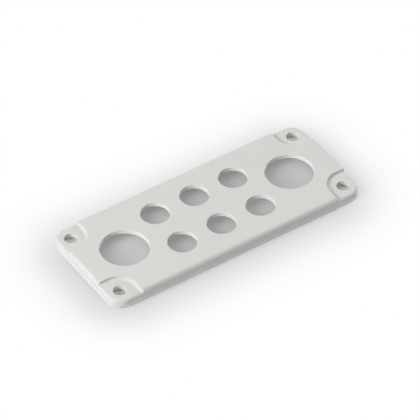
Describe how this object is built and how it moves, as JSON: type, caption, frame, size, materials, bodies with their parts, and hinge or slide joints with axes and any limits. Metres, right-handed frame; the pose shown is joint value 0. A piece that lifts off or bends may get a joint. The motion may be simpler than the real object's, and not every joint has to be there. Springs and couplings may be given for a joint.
{
  "type": "cable entry plate",
  "caption": "Rectangular moulded flange plate with round gland holes in two sizes, sunk corner pads for fixing screws and a flat seal under its rim.",
  "frame": {"origin": "middle of the seal's lower face, which lies on the enclosure's wall", "axes": "+X along the plate's length, +Y across it, +Z out of its front face"},
  "size_m": [0.221, 0.089, 0.0102],
  "materials": {
    "plate": "fine matt moulded texture, light grey",
    "seal": "matt, light grey"
  },
  "bodies": {
    "root": {"plate": "plate", "seal": "seal"}
  },
  "joints": []
}
